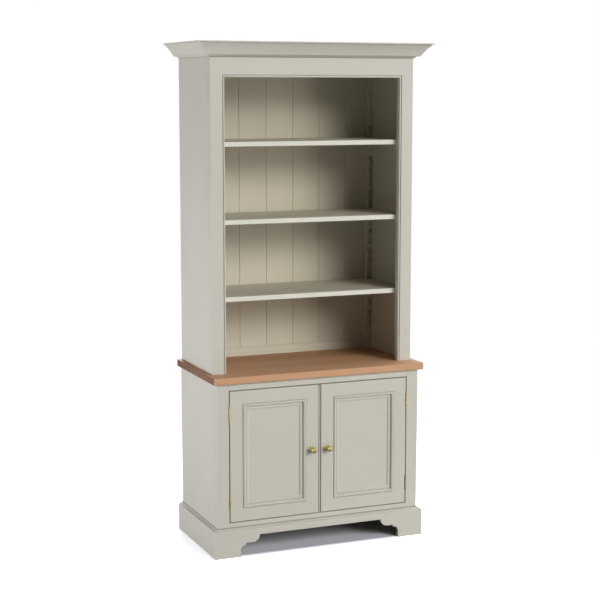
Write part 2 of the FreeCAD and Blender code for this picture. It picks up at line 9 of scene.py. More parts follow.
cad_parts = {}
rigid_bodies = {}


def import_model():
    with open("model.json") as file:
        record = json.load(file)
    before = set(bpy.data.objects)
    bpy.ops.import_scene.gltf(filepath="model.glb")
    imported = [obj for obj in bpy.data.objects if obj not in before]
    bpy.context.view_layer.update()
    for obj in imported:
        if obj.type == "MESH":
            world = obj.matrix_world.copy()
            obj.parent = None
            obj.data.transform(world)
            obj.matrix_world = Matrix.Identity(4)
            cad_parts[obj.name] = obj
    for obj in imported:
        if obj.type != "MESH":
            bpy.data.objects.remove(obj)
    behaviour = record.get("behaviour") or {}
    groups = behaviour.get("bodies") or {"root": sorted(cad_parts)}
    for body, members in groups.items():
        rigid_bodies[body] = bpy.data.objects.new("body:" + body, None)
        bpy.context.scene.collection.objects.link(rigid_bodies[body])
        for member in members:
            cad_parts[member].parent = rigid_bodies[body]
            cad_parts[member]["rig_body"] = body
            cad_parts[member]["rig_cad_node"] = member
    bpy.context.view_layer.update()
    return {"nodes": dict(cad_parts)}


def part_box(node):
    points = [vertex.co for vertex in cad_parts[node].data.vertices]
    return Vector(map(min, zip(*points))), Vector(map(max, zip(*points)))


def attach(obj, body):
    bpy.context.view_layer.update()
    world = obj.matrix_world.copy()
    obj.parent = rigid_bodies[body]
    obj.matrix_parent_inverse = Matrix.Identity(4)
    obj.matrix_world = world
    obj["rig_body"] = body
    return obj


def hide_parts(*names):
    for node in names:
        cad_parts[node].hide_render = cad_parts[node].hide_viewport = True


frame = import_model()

# A painted bookcase on a two-door cupboard with an oak top. Metres, Z up, the doors face -Y.
mm = 0.001
setBack = 213.0  # shapes are drawn in millimetres, with Y counted from the front of the cupboard's frame
nodes = frame["nodes"]
scene = bpy.context.scene
print("frame loaded:", len(nodes), "nodes")


class Wire:
    # one output socket in a shader tree, with the arithmetic that the finishes use

    def __init__(self, tree, socket=None):
        self.tree = tree
        self.socket = socket

    def node(self, kind, settings=None, sockets=None, out=0):
        # adds a node: sockets that come as wires are linked, the others are set
        made = self.tree.nodes.new(kind)
        for name, value in (settings or {}).items():
            setattr(made, name, value)
        for name, value in (sockets or {}).items():
            if isinstance(value, Wire):
                self.tree.links.new(value.socket, made.inputs[name])
            else:
                made.inputs[name].default_value = value
        return Wire(self.tree, made.outputs[out] if made.outputs else None)

    def outputs(self, kind, names, sockets=None):
        # adds a node and gives its outputs of these names
        made = self.node(kind, None, sockets).socket.node
        return [Wire(self.tree, made.outputs[name]) for name in names]

    def maths(self, operation, a, b=0.0):
        return self.node("ShaderNodeMath", {"operation": operation}, {0: a, 1: b})

    def __add__(self, other):
        return self.maths("ADD", self, other)

    __radd__ = __add__

    def __sub__(self, other):
        return self.maths("SUBTRACT", self, other)

    def __rsub__(self, other):
        return self.maths("SUBTRACT", other, self)

    def __mul__(self, other):
        return self.maths("MULTIPLY", self, other)

    def __truediv__(self, other):
        return self.maths("DIVIDE", self, other)

    def __pow__(self, other):
        return self.maths("POWER", self, other)

    def __abs__(self):
        return self.maths("ABSOLUTE", self)

    def floor(self):
        return self.maths("FLOOR", self)

    def larger(self, other):
        return self.maths("MAXIMUM", self, other)

    def above(self, low, high):
        # 0 below low, 1 above high, smooth between
        return self.node("ShaderNodeMapRange", {"interpolation_type": "SMOOTHSTEP"},
                         {"Value": self, "From Min": low, "From Max": high})

    def mixNode(self, blend, factor, a, b):
        # inputs 6 and 7 are the node's colours and output 2 is the mixed one
        return self.node("ShaderNodeMix", {"data_type": "RGBA", "blend_type": blend},
                         {"Factor": factor, 6: a, 7: b}, out=2)

    def mixed(self, a, b):
        # colour a where this is 0 and colour b where it is 1
        return self.mixNode("MIX", self, colourOf(a), colourOf(b))

    def times(self, other):
        return self.mixNode("MULTIPLY", 1.0, self, other)

    def tinted(self, mask, tint):
        # this colour, multiplied by the tint where the mask is 1
        return self.times(mask.mixed((1.0, 1.0, 1.0), tint))

    def stretched(self, scale):
        return self.node("ShaderNodeMapping", None, {"Vector": self, "Scale": scale})

    def noise(self, scale, detail=2.0, roughness=0.5, distortion=0.0):
        return self.node("ShaderNodeTexNoise", None, {"Vector": self, "Scale": scale, "Detail": detail,
                                                      "Roughness": roughness, "Distortion": distortion})

    def streaks(self, scale, detail=2.0, roughness=0.5, distortion=0.0):
        # noise with a scale of its own for each axis
        return self.stretched(scale).noise(1.0, detail, roughness, distortion)

    def split(self):
        return self.outputs("ShaderNodeSeparateXYZ", "XYZ", {"Vector": self})

    def seenRays(self):
        # 1 where the surface is seen straight, and 1 where it is seen straight, mirrored or through glass
        names = ["Is " + kind + " Ray" for kind in ("Camera", "Glossy", "Transmission")]
        straight, mirrored, through = self.outputs("ShaderNodeLightPath", names)
        return straight, straight.larger(mirrored).larger(through)


def colourOf(value):
    return value if isinstance(value, Wire) else (*value, 1)


def newMaterial(name):
    material = bpy.data.materials.new(name)
    material.use_nodes = True
    tree = material.node_tree
    tree.nodes.clear()
    place = Wire(tree).node("ShaderNodeTexCoord", out="Object")
    return material, place


def finishSurface(place, sockets, height, strength, depth):
    # the shader with its bump, depth in millimetres
    bump = place.node("ShaderNodeBump", None, {"Height": height, "Strength": strength,
                                               "Distance": depth * mm})
    shader = place.node("ShaderNodeBsdfPrincipled", None, {**sockets, "Normal": bump})
    place.node("ShaderNodeOutputMaterial", None, {"Surface": shader})


# in a look, "rough" is the least and the most roughness, and "bump" its strength and depth in millimetres

# each coat of paint has a lighter and a darker tone; "joints" are lines of painted shade where parts meet,
# in millimetres
paintLook = {
    "outer": ((0.540, 0.517, 0.443), (0.516, 0.493, 0.421)),
    # "inner" is the coat tinted warmer as painted bounce light inside the rack
    "inner": ((0.545, 0.502, 0.398), (0.521, 0.478, 0.378)),
    # "edge" is a lighter tone on the shelves' front edges, a painted highlight
    "edge": ((0.665, 0.64, 0.54), (0.665, 0.64, 0.54)),
    "along": 2.5, "across": 260.0, "cloud": 3.1, "cloudShare": 0.6, "rough": (0.58, 0.66),
    "bump": (0.35, 0.15),
    "joints": [{"between": (119.3, 125.5), "front": -2.8, "side": 457.3},
               {"between": (2037.2, 2041.4), "front": 61.0, "side": 454.0}],
    "jointShadeTone": (0.58, 0.57, 0.55), "jointBlur": 0.4}


def paintedJointShade(place):
    # painted shade: darker lines where the cupboard meets its plinth and the rack its cornice
    look = paintLook
    x, y, z = place.split()

    def past(axis, limit):
        return axis.above(limit - look["jointBlur"] * mm, limit + look["jointBlur"] * mm)

    total = 0.0
    for joint in look["joints"]:
        low, high = [level * mm for level in joint["between"]]
        near = (1.0 - past(abs(x), joint["side"] * mm)) * past(y, (joint["front"] - setBack) * mm)
        total = near * past(z, low) * (1.0 - past(z, high)) + total
    return total


def paintMaterial(name, grain, layer):
    # satin paint with faint brush marks along the wood's length
    look = paintLook
    light, dark = look[layer]
    low, high = look["rough"]
    material, place = newMaterial(name)
    marks = place.streaks([look["along"] if axis == grain else look["across"] for axis in "XYZ"], 3.0, 0.6)
    clouds = place.noise(look["cloud"]).above(0.3, 0.7)
    tone = clouds * look["cloudShare"] + marks * (1 - look["cloudShare"])
    # the colour is darkened along the joints as painted shade
    colour = tone.mixed(dark, light).tinted(paintedJointShade(place), look["jointShadeTone"])
    finishSurface(place, {"Base Color": colour, "Roughness": marks * (high - low) + low},
                  marks, *look["bump"])
    return material


# metres; "pith" says how far from the middle of its tree a stave is sawn, and how much that varies
oakLook = {
    "light": (0.675, 0.395, 0.218), "dark": (0.525, 0.288, 0.15), "streaks": (3.0, 160.0, 160.0),
    "stave": 0.098, "firstJoint": 0.35, "staveTones": ((0.86, 0.84, 0.83), (1.04, 1.04, 1.04)),
    "seam": (0.489, 0.496), "seamDark": 0.55,
    "pith": {"aside": 0.05, "asideVaries": 0.16, "under": 0.03, "underVaries": 0.07, "level": 0.74},
    "ring": 0.0036, "ringLean": 0.4, "lateWood": 0.75,
    "wander": (0.8, 7.0, 7.0), "wanderAside": 0.03, "wanderUnder": 0.012,
    "pore": (0.30, 0.155, 0.09), "poreScale": (16.0, 1000.0, 1000.0), "poreFrom": (0.56, 0.7),
    "poreDark": 0.4,
    "knot": (0.24, 0.11, 0.06), "knotScale": (7.0, 21.0, 21.0), "knotSize": (0.02, 0.075),
    "knotRarity": (0.93, 0.94),
    "end": (0.31, 0.25, 0.235), "endFrom": (0.4718, 0.4722),
    # the front edge is painted lighter as a painted highlight, and the rear darker as painted shade from
    # the rack
    "lip": (1.24, 1.27, 1.30), "lipFrom": (-0.2300, -0.2270),
    "rear": (0.62, 0.54, 0.50), "rackShadeFrom": (-0.10, 0.24),
    "gloss": 0.22, "roughness": 0.58, "bump": (0.3, 0.25)}


def oakMaterial():
    # oiled oak staves glued edge to edge: growth rings cut along the grain, open pores, darker end grain
    look, pith = oakLook, oakLook["pith"]
    material, place = newMaterial("oak")
    x, y, z = place.split()
    across = y / look["stave"] + look["firstJoint"]
    stave = across.floor()
    seed = place.node("ShaderNodeTexWhiteNoise", {"noise_dimensions": "1D"}, {"W": stave}, out="Value")
    seam = abs(across - stave - 0.5).above(*look["seam"])
    wander = place.streaks(look["wander"], 3.0, 0.55)
    aside = (y - stave * look["stave"] + seed * pith["asideVaries"] - pith["aside"]
             + wander * look["wanderAside"])
    below = (z - pith["level"] + seed * pith["underVaries"] + wander * look["wanderUnder"]
             + pith["under"])
    radius = (aside * aside + below * below) ** 0.5
    ring = radius / look["ring"] + x * look["ringLean"]
    late = (ring - ring.floor()).above(0.0, look["lateWood"])
    pores = place.streaks(look["poreScale"], 2.0, 0.7).above(*look["poreFrom"]) * (1.15 - late * 0.8)
    grain = late * 0.4 + place.streaks(look["streaks"], 3.0) * 0.6
    cell, spread = place.outputs("ShaderNodeTexVoronoi", ("Color", "Distance"),
                                 {"Vector": place.stretched(look["knotScale"]), "Scale": 1.0})
    knots = (1.0 - spread.above(*look["knotSize"])) * cell.split()[0].above(*look["knotRarity"])
    # tones by place: dark end grain, a lighter front edge as a painted highlight where the light falls,
    # and a darker rear as painted shade from the rack
    ends = abs(x).above(*look["endFrom"])
    lip = (1.0 - y.above(*look["lipFrom"])) * (1.0 - ends)
    rear = y.above(*look["rackShadeFrom"])
    toned = grain.mixed(look["dark"], look["light"]).times(seed.mixed(*look["staveTones"]))
    toned = toned.tinted(ends, look["end"]).tinted(lip, look["lip"]).tinted(rear, look["rear"])
    dark = pores * look["poreDark"] + seam * look["seamDark"]
    colour = knots.mixed(dark.mixed(toned, look["pore"]), look["knot"])
    finishSurface(place, {"Specular IOR Level": look["gloss"], "Base Color": colour,
                          "Roughness": pores * 0.14 + look["roughness"] - late * 0.05},
                  grain * 0.5 - pores * 0.7 - seam, *look["bump"])
    return material


bareLook = {"light": (0.70, 0.53, 0.34), "dark": (0.46, 0.31, 0.18), "grain": (1.5, 70.0, 70.0),
            "fine": (8.0, 500.0, 500.0), "rough": (0.6, 0.7), "bump": (0.3, 0.1)}


def bareMaterial():
    # planed softwood, grain along X
    look = bareLook
    low, high = look["rough"]
    material, place = newMaterial("bareWood")
    grain = place.streaks(look["grain"], 3.0, 0.6, 0.4)
    fine = place.streaks(look["fine"])
    colour = (grain * 0.7 + fine * 0.3).mixed(look["dark"], look["light"])
    finishSurface(place, {"Base Color": colour, "Roughness": fine * (high - low) + low},
                  fine, *look["bump"])
    return material


metalLooks = {
    "patch": 90.0, "patchFrom": (0.35, 0.7), "patchShare": 0.7, "mark": 2200.0, "bump": (0.15, 0.02),
    "brass": {"colour": (0.58, 0.49, 0.22), "dull": (0.40, 0.34, 0.145), "rough": (0.26, 0.42)},
    "steel": {"colour": (0.62, 0.62, 0.63), "dull": (0.45, 0.45, 0.46), "rough": (0.3, 0.42)}}


def metalMaterial(name):
    # satin metal, a little duller in patches, with fine scratches
    looks, metal = metalLooks, metalLooks[name]
    low, high = metal["rough"]
    material, place = newMaterial(name)
    patches = place.noise(looks["patch"], 3.0).above(*looks["patchFrom"])
    marks = place.noise(looks["mark"])
    share = looks["patchShare"]
    rough = patches * (high - low) * share + marks * (high - low) * (1 - share) + low
    finishSurface(place, {"Metallic": 1.0, "Base Color": patches.mixed(metal["colour"], metal["dull"]),
                          "Roughness": rough}, marks, *looks["bump"])
    return material


plasticLook = {"light": (0.76, 0.76, 0.73), "dark": (0.68, 0.68, 0.65), "speck": 1400.0,
               "rough": (0.4, 0.55), "bump": (0.2, 0.05)}


def plasticMaterial():
    look = plasticLook
    low, high = look["rough"]
    material, place = newMaterial("plastic")
    speck = place.noise(look["speck"])
    finishSurface(place, {"Base Color": speck.mixed(look["dark"], look["light"]),
                          "Roughness": speck * (high - low) + low}, speck, *look["bump"])
    return material


# the run of the brush and the coat; inside the rack the coat is tinted a little warmer as painted bounce
# light
paintFinishes = {"paintX": ("X", "outer"), "paintY": ("Y", "outer"), "paintZ": ("Z", "outer"),
                 "paintedHighlightEdge": ("X", "edge"), "paintedBounceX": ("X", "inner"), "paintedBounceZ": ("Z", "inner")}
finishes = {name: paintMaterial(name, *made) for name, made in paintFinishes.items()}
finishes.update({"oak": oakMaterial(), "bareWood": bareMaterial(), "brass": metalMaterial("brass"),
                 "steel": metalMaterial("steel"), "plastic": plasticMaterial()})
slotOf = {"oak": "oak", "bareWood": "bare_wood", "brass": "brass", "steel": "steel",
          "plastic": "catch_plastic", **{name: "paint" for name in paintFinishes}}
print("finishes made:", len(finishes))


# Lengths are in millimetres and angles in degrees. Curves are drawn in steps of "step". An edge that
# turns more than "corner" is an arris, and it is free where no neighbour lies within "contact" of its
# faces, "inset" from the edge. A rounding is a pair: its width and its number of segments.
joinery = {"step": 6.0, "corner": 31.0, "contact": 0.06, "inset": 1.0, "smooth": 32.0, "flat": 0.3,
           "weld": 0.002, "cut": 0.0001, "straight": 0.999, "near": 0.02, "easeSegments": 3}


def spot(x, y, z):
    return Vector((x, y - setBack, z)) * mm


def arcThrough(first, middle, last):
    # points after the first on the arc through three points
    (ax, ay), (mx, my), (bx, by) = first, middle, last
    twice = 2 * (ax * (my - by) + mx * (by - ay) + bx * (ay - my))
    a, m, b = ax * ax + ay * ay, mx * mx + my * my, bx * bx + by * by
    cx = (a * (my - by) + m * (by - ay) + b * (ay - my)) / twice
    cy = (a * (bx - mx) + m * (ax - bx) + b * (mx - ax)) / twice
    start, via, end = [math.atan2(y - cy, x - cx) for x, y in (first, middle, last)]
    turn = (end - start) % math.tau
    if (via - start) % math.tau > turn:
        turn -= math.tau
    steps = max(2, math.ceil(abs(math.degrees(turn)) / joinery["step"]))
    radius = math.hypot(ax - cx, ay - cy)
    angles = [start + turn * n / steps for n in range(1, steps + 1)]
    return [(cx + radius * math.cos(t), cy + radius * math.sin(t)) for t in angles]


def outlineOf(corners):
    # a section from corners (a, b), rounded corners (a, b, radius) and arcs ((middle), (end))
    ends = [c[1] if isinstance(c[0], tuple) else c[:2] for c in corners]
    points = []
    for i, corner in enumerate(corners):
        if isinstance(corner[0], tuple):
            points += arcThrough(points[-1], corner[0], corner[1])
        elif len(corner) == 3:
            here, before, after = [Vector(e) for e in (ends[i], ends[i - 1], ends[(i + 1) % len(ends)])]
            u, v = (before - here).normalized(), (after - here).normalized()
            half = math.acos(u.dot(v)) / 2
            reach = corner[2] / math.tan(half)
            middle = here + (u + v).normalized() * (corner[2] / math.sin(half) - corner[2])
            enter = here + u * reach
            points += [tuple(enter)] + arcThrough(tuple(enter), tuple(middle), tuple(here + v * reach))
        else:
            points.append(tuple(corner))
    return points


def placed(section, place):
    # the section with each of its points moved by a function
    return [tuple(place(*p) for p in c) if isinstance(c[0], tuple) else place(*c) for c in section]


def selectOnly(thing):
    bpy.ops.object.select_all(action="DESELECT")
    thing.select_set(True)
    bpy.context.view_layer.objects.active = thing


@contextmanager
def editing(piece, selection="SELECT"):
    # edit mode on one piece, with all or nothing of it selected
    selectOnly(piece)
    bpy.ops.object.mode_set(mode="EDIT")
    bpy.ops.mesh.select_all(action=selection)
    yield
    bpy.ops.object.mode_set(mode="OBJECT")


def pickEdges(piece, test):
    sheet = bmesh.from_edit_mesh(piece.data)
    for edge in sheet.edges:
        if test(edge):
            edge.select_set(True)
    bmesh.update_edit_mesh(piece.data)


def coat(piece, finish):
    piece.data.materials.clear()
    piece.data.materials.append(finishes[finish])


def lengthOf(axis, section, start, end):
    # a length of timber: its section drawn across the axis, then pulled along it
    points = outlineOf(section)
    bpy.ops.object.select_all(action="DESELECT")
    bpy.ops.mesh.primitive_circle_add(vertices=len(points), fill_type="NGON")
    piece = bpy.context.object
    places = {"X": lambda a, b: spot(start, a, b), "Y": lambda a, b: spot(a, start, b),
              "Z": lambda a, b: spot(a, b, start)}
    for vertex, point in zip(piece.data.vertices, points):
        vertex.co = places[axis](*point)
    along = Vector([(end - start) * mm if letter == axis else 0 for letter in "XYZ"])
    with editing(piece):
        bpy.ops.mesh.extrude_region_move(TRANSFORM_OT_translate={"value": along})
        bpy.ops.mesh.select_all(action="SELECT")
        bpy.ops.mesh.normals_make_consistent(inside=False)
    coat(piece, "paint" + axis)
    return piece


def slab(x, y, z, finish):
    # a plain board between two corners, for the edges still to be worked
    low, high = spot(x[0], y[0], z[0]), spot(x[1], y[1], z[1])
    bpy.ops.object.select_all(action="DESELECT")
    bpy.ops.mesh.primitive_cube_add(size=1, location=(low + high) / 2, scale=high - low)
    bpy.ops.object.transform_apply(location=True, rotation=True, scale=True)
    coat(bpy.context.object, finish)
    return bpy.context.object


def saw(piece, place, toward):
    # cuts off what lies beyond a plane and closes the end
    with editing(piece):
        bpy.ops.mesh.bisect(plane_co=place, plane_no=toward, use_fill=True, clear_outer=True,
                            threshold=joinery["cut"] * mm)


def joined(name, pieces):
    selectOnly(pieces[0])
    for piece in pieces:
        piece.select_set(True)
    bpy.ops.object.join()
    pieces[0].name = name
    return pieces[0]


def mirroredCopy(piece, name):
    other = piece.copy()
    other.data = piece.data.copy()
    other.name = name
    scene.collection.objects.link(other)
    with editing(other):
        bpy.ops.transform.mirror(orient_type="GLOBAL", constraint_axis=(True, False, False),
                                 center_override=(0, 0, 0))
        bpy.ops.mesh.normals_make_consistent(inside=False)
    return other


def turnOf(edge):
    # how far the surface turns at an edge, in degrees, less than 0 in a hollow
    return math.degrees(edge.calc_face_angle_signed(0)) if edge.is_manifold else 0.0


def lies(edge, axis=None, **where):
    # is the edge along this axis, at these places in millimetres?
    a, b = [v.co / mm + Vector((0, setBack, 0)) for v in edge.verts]
    if axis and abs((b - a)["XYZ".index(axis)]) < joinery["straight"] * (b - a).length:
        return False
    return all(abs(p["xyz".index(letter)] - value) < joinery["near"]
               for letter, value in where.items() for p in (a, b))


def rounded(piece, width, segments, test):
    # rounds the edges that pass the test
    with editing(piece, "DESELECT"):
        pickEdges(piece, test)
        bpy.ops.mesh.bevel(offset=width * mm, segments=segments, profile=0.5, clamp_overlap=True,
                           miter_outer="SHARP")
    return piece


trees = {name: BVHTree.FromPolygons([v.co for v in node.data.vertices],
                                    [p.vertices for p in node.data.polygons])
         for name, node in nodes.items()}
nodeBoxes = {name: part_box(name) for name in nodes}


def touches(point, ownName):
    # does another piece lie against the surface here?
    for name, tree in trees.items():
        low, high = nodeBoxes[name]
        if name == ownName or any(point[i] < low[i] - mm or point[i] > high[i] + mm for i in range(3)):
            continue
        if tree.find_nearest(point, joinery["contact"] * mm)[0] is not None:
            return True
    return False


def isFree(edge, ownName):
    # an outer arris with no neighbour against either of its faces
    if turnOf(edge) < joinery["corner"]:
        return False
    middle = (edge.verts[0].co + edge.verts[1].co) / 2
    along = (edge.verts[1].co - edge.verts[0].co).normalized()
    for face in edge.link_faces:
        inward = face.normal.cross(along)
        if (face.calc_center_median() - middle).dot(inward) < 0:
            inward = -inward
        if touches(middle + inward * joinery["inset"] * mm, ownName):
            return False
    return True


def applied(piece, kind, **settings):
    # adds a modifier and applies it
    selectOnly(piece)
    modifier = piece.modifiers.new(kind, kind)
    for name, value in settings.items():
        setattr(modifier, name, value)
    bpy.ops.object.modifier_apply(modifier=modifier.name)


def fitted(piece, node):
    # the finished piece takes the place of its node and moves with its body
    selectOnly(piece)
    bpy.ops.object.shade_smooth_by_angle(angle=math.radians(joinery["smooth"]))
    applied(piece, "WEIGHTED_NORMAL", weight=100, keep_sharp=True)
    next(slotOf[n] for n in slotOf if finishes[n] == piece.data.materials[0])
    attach(piece, nodes[node]["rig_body"])
    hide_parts(node)


def easedCopies(edges):
    # pieces as they leave the bench: the same wood, its outer arrises rubbed round
    for name, (finish, width) in edges.items():
        piece = nodes[name].copy()
        piece.data = nodes[name].data.copy()
        piece.name = name + "_eased"
        piece.parent = None
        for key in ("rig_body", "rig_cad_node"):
            del piece[key]
        scene.collection.objects.link(piece)
        coat(piece, finish)
        with editing(piece):
            bpy.ops.mesh.remove_doubles(threshold=joinery["weld"] * mm)
            bpy.ops.mesh.dissolve_limited(angle_limit=math.radians(joinery["flat"]))
        rounded(piece, width, joinery["easeSegments"], lambda edge: isFree(edge, name))
        fitted(piece, name)


# the plinth's section is drawn outward from the cupboard and up from the floor; the arch between its
# feet has a hollow, a step and a round on each side
plinth = {
    "half": 454.5, "thick": 18.5, "back": 462.0, "ease": (0.7, 3), "foot": 360.0, "arch": 87.0,
    "cove": 19.0, "fillet": 4.0, "step": 9.0, "ovolo": 30.0, "past": 1.0,
    "section": [(0, 0), (18.5, 0), (18.5, 114.6, 4.2), (13.0, 115.2), ((6.6, 117.2), (1.4, 121.4)),
                (0, 124)]}


def archCutter():
    # the wood between the feet, drawn a little past the front length's faces
    look, past = plinth, plinth["past"]
    stepX = look["foot"] - look["cove"] - look["fillet"]
    ovoloLow = look["arch"] - look["ovolo"]
    stepLow = ovoloLow - look["step"]
    crown = stepX - 2 * look["ovolo"]
    half = [(look["foot"], -past), (look["foot"], stepLow, look["cove"]), (stepX, stepLow),
            (stepX, ovoloLow), (crown, ovoloLow, look["ovolo"]), (crown, look["arch"])]
    return lengthOf("Y", [(-c[0],) + c[1:] for c in half] + half[::-1], -look["thick"] - past, past)


def plinthFront():
    look = plinth
    wide = look["half"] + look["thick"]
    piece = lengthOf("X", placed(look["section"], lambda u, v, *r: (-u, v, *r)), -wide, wide)
    cutter = archCutter()
    applied(piece, "BOOLEAN", operation="DIFFERENCE", solver="EXACT", object=cutter)
    bpy.data.objects.remove(cutter)
    for side in (-1, 1):
        saw(piece, spot(side * look["half"], 0, 0), (side, 1, 0))
    piece.name = "plinthFront"
    rounded(piece, *look["ease"], lambda e: isFree(e, "plinth_front") and lies(e, y=-look["thick"])
            and not lies(e, "Z", x=wide) and not lies(e, "Z", x=-wide))
    fitted(piece, "plinth_front")


def plinthReturns():
    look = plinth
    section = placed(look["section"], lambda u, v, *r: (look["half"] + u, v, *r))
    piece = lengthOf("Y", section, -look["thick"], look["back"])
    saw(piece, spot(look["half"], 0, 0), (-1, -1, 0))
    piece.name = "plinthRight"
    fitted(mirroredCopy(piece, "plinthLeft"), "plinth_left")
    fitted(piece, "plinth_right")


plinthFront()
plinthReturns()
easedCopies({"plinth_back": ("bareWood", 0.6)})
print("plinth done")


cupboardEdges = {
    "base_side_left": ("paintZ", 0.6), "base_side_right": ("paintZ", 0.6),
    "base_floor": ("paintX", 0.6), "base_back": ("paintZ", 0.4),
    "base_stile_left": ("paintZ", 0.8), "base_stile_right": ("paintZ", 0.8),
    "base_rail_top": ("paintX", 0.8), "base_rail_bottom": ("paintX", 0.8),
    "top_stretchers": ("bareWood", 0.6), "cupboard_shelf": ("paintX", 0.8),
    "door_catches": ("plastic", 0.4), "frame_hinge_leaves": ("brass", 0.15)}
easedCopies(cupboardEdges)
print("cupboard done")


oakTop = {"half": 472.5, "front": -18.0, "back": 462.0, "low": 727.0, "high": 755.0,
          "corner": (1.2, 4), "upper": (8.0, 10), "lower": (3.0, 5)}


def makeOakTop():
    look = oakTop
    half, front, back, low, high = [look[k] for k in ("half", "front", "back", "low", "high")]
    piece = slab((-half, half), (front, back), (low, high), "oak")
    rounded(piece, *look["corner"], lambda e: lies(e, "Z", y=front))
    rounded(piece, *look["upper"], lambda e: lies(e, z=high) and not lies(e, y=back))
    rounded(piece, *look["lower"], lambda e: lies(e, z=low) and not lies(e, y=back))
    piece.name = "oakTop"
    fitted(piece, "worktop")


makeOakTop()
print("oak top done")


# the right-hand door's moulding, mirrored for the left: across it a sunk line, a bead, a flat swell
# lower down and a step to the panel
panelMoulding = {
    "left": 62.0, "right": 344.0, "low": 200.0, "high": 638.0, "ease": (0.25, 2),
    "section": [(0, 8.5), (0, 3.4), (1.2, 3.4), (1.2, 0.4), ((6.3, -3.8), (12.6, 0.4)), (15, 6.4),
                ((21.3, 4.2), (27.6, 7.2)), (27.6, 8.5)]}


def mouldingLengths():
    # four lengths set against the frame's edges and mitred at the corners
    look = panelMoulding
    left, right, low, high = [look[k] for k in ("left", "right", "low", "high")]
    pieces = []
    for edge, toward in ((left, 1), (right, -1)):
        section = placed(look["section"], lambda u, v: (edge + toward * u, v))
        piece = lengthOf("Z", section, low, high)
        saw(piece, spot(edge, 0, low), (toward, 0, -1))
        saw(piece, spot(edge, 0, high), (toward, 0, 1))
        pieces.append(rounded(piece, *look["ease"],
                              lambda e: lies(e, "Z") and turnOf(e) > joinery["corner"]))
    for edge, toward in ((low, 1), (high, -1)):
        section = placed(look["section"], lambda u, v: (v, edge + toward * u))
        piece = lengthOf("X", section, left, right)
        saw(piece, spot(left, 0, edge), (-1, 0, toward))
        saw(piece, spot(right, 0, edge), (1, 0, toward))
        pieces.append(rounded(piece, *look["ease"],
                              lambda e: lies(e, "X") and turnOf(e) > joinery["corner"]))
    return pieces


rightMoulding = joined("mouldingRight", mouldingLengths())
fitted(mirroredCopy(rightMoulding, "mouldingLeft"), "door_left_moulding")
fitted(rightMoulding, "door_right_moulding")

doorEdges = {"stiles": ("paintZ", 0.9), "rails": ("paintX", 0.9), "panel": ("paintZ", 0.4),
             "hinge_leaves": ("brass", 0.15)}
for side in ("left", "right"):
    easedCopies({"door_" + side + "_" + part: made for part, made in doorEdges.items()})

meetingBead = {"low": 146.5, "high": 693.5,
               "section": [(-5.9, 22), (-5.9, 7), (-3.2, 7), (-3.2, 0.6), ((-0.8, -0.7), (1.6, 0.6)),
                           (1.6, 22)]}
beadStrip = lengthOf("Z", meetingBead["section"], meetingBead["low"], meetingBead["high"])
beadStrip.name = "meetingBead"
fitted(beadStrip, "meeting_bead")


# "foot" is the rose: radius and distance in front of the door, negative outward
knob = {"x": 35.5, "z": 421.0, "ball": 13.3, "reach": 36.0, "neck": 8.6, "ballSteps": 22,
        "turnSteps": 64, "weld": 0.003,
        "foot": [(0.0, 0.0), (13.3, 0.0), (13.7, -0.4), (13.7, -1.8), ((12.6, -3.5), (10.6, -4.5)),
                 ((9.2, -5.7), (8.6, -7.4))]}


def knobProfile():
    # the rose and neck, then the ball out to its end on the knob's axis
    look = knob
    middle = -look["reach"] + look["ball"]
    start = math.asin(look["neck"] / look["ball"])
    steps = look["ballSteps"]
    turns = [start + (math.pi - start) * n / steps for n in range(steps + 1)]
    ball = [(look["ball"] * math.sin(t), middle + look["ball"] * math.cos(t)) for t in turns]
    return outlineOf(look["foot"]) + ball[:-1] + [(0.0, -look["reach"])]


def makeKnob(side):
    look, profile = knob, knobProfile()
    x = look["x"] if side == "right" else -look["x"]
    bpy.ops.object.select_all(action="DESELECT")
    bpy.ops.mesh.primitive_circle_add(vertices=len(profile), fill_type="NOTHING")
    piece = bpy.context.object
    piece.name = "knob" + side.capitalize()
    for vertex, (radius, y) in zip(piece.data.vertices, profile):
        vertex.co = spot(x + radius, y, look["z"])
    closing = {0, len(profile) - 1}
    with editing(piece, "DESELECT"):
        # the straight line down the middle closes the drawn circle and isn't wanted
        pickEdges(piece, lambda edge: {v.index for v in edge.verts} == closing)
        bpy.ops.mesh.delete(type="EDGE")
        bpy.ops.mesh.select_all(action="SELECT")
        bpy.ops.mesh.spin(steps=look["turnSteps"], angle=math.tau, center=spot(x, 0, look["z"]),
                          axis=(0, 1, 0))
        bpy.ops.mesh.select_all(action="SELECT")
        bpy.ops.mesh.remove_doubles(threshold=look["weld"] * mm)
        bpy.ops.mesh.normals_make_consistent(inside=False)
    coat(piece, "brass")
    fitted(piece, "door_" + side + "_knob")


makeKnob("left")
makeKnob("right")
print("doors done")


rack = {"half": 451.0, "inside": 436.0, "front": 64.5, "frameBack": 90.5, "boards": 452.0,
        "back": 462.0, "low": 755.0, "high": 2062.0, "opening": 389.5, "openingHigh": 1958.0}
rackEdges = {
    "rack_side_left": ("paintZ", 0.6), "rack_side_right": ("paintZ", 0.6),
    "rack_top": ("paintX", 0.5), "rack_stile_left": ("paintZ", 0.4),
    "rack_stile_right": ("paintZ", 0.4), "rack_rail_top": ("paintX", 0.4),
    # the ladders take the warmer coat of painted bounce light
    "ladders_left": ("paintedBounceZ", 0.5), "ladders_right": ("paintedBounceZ", 0.5),
    "shelf_bearers": ("paintY", 0.6)}
easedCopies(rackEdges)

bead = {"wide": 7.0, "nose": 3.45}


